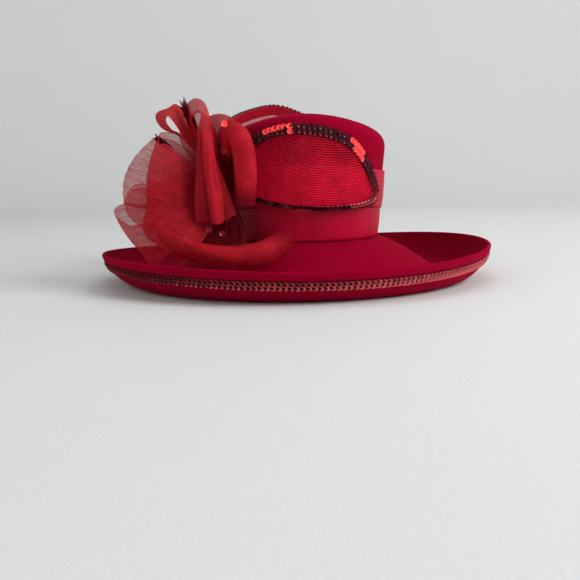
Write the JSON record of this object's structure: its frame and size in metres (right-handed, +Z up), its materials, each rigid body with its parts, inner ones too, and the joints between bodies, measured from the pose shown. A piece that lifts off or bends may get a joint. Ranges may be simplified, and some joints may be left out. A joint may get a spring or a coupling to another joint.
{
  "type": "wide-brim hat",
  "caption": "Wide-brim dress hat with an oval crown, upturned brim, two hatbands, sequin-edged mesh side loops and a rosette of mesh ribbon loops.",
  "frame": {"origin": "middle of the hat's box in plan, on the plane of the brim's flat resting ring", "axes": "+X to the right of the picture (the wearer's left), -Y towards the viewer (the hat's front), +Z up"},
  "size_m": [0.4326, 0.4426, 0.1998],
  "materials": {
    "felt": "crimson wool felt, matte nap",
    "satin": "crimson satin",
    "mesh_ribbon": "stiff red horsehair mesh ribbon",
    "sequins": "dark red cup sequins on braid",
    "feather": "dark maroon feather"
  },
  "bodies": {
    "root": {"crown": "felt", "brim": "felt", "brim_trim": "sequins", "band_lower": "satin", "band_upper": "satin", "front_loop": "mesh_ribbon", "front_loop_trim": "sequins", "back_loop": "mesh_ribbon", "back_loop_trim": "sequins", "flower_knot": "mesh_ribbon", "feather_spray": "feather", "tail_loop": "mesh_ribbon", "side_tube": "mesh_ribbon", "low_roll": "mesh_ribbon", "loop_top_left": "mesh_ribbon", "loop_mid_left": "mesh_ribbon", "loop_low_left": "mesh_ribbon", "loop_low_fan": "mesh_ribbon", "loop_high_fan": "mesh_ribbon", "loop_under": "mesh_ribbon", "loop_front_low": "mesh_ribbon", "loop_top": "mesh_ribbon", "loop_back_high": "mesh_ribbon", "loop_back_low": "mesh_ribbon"}
  },
  "joints": []
}
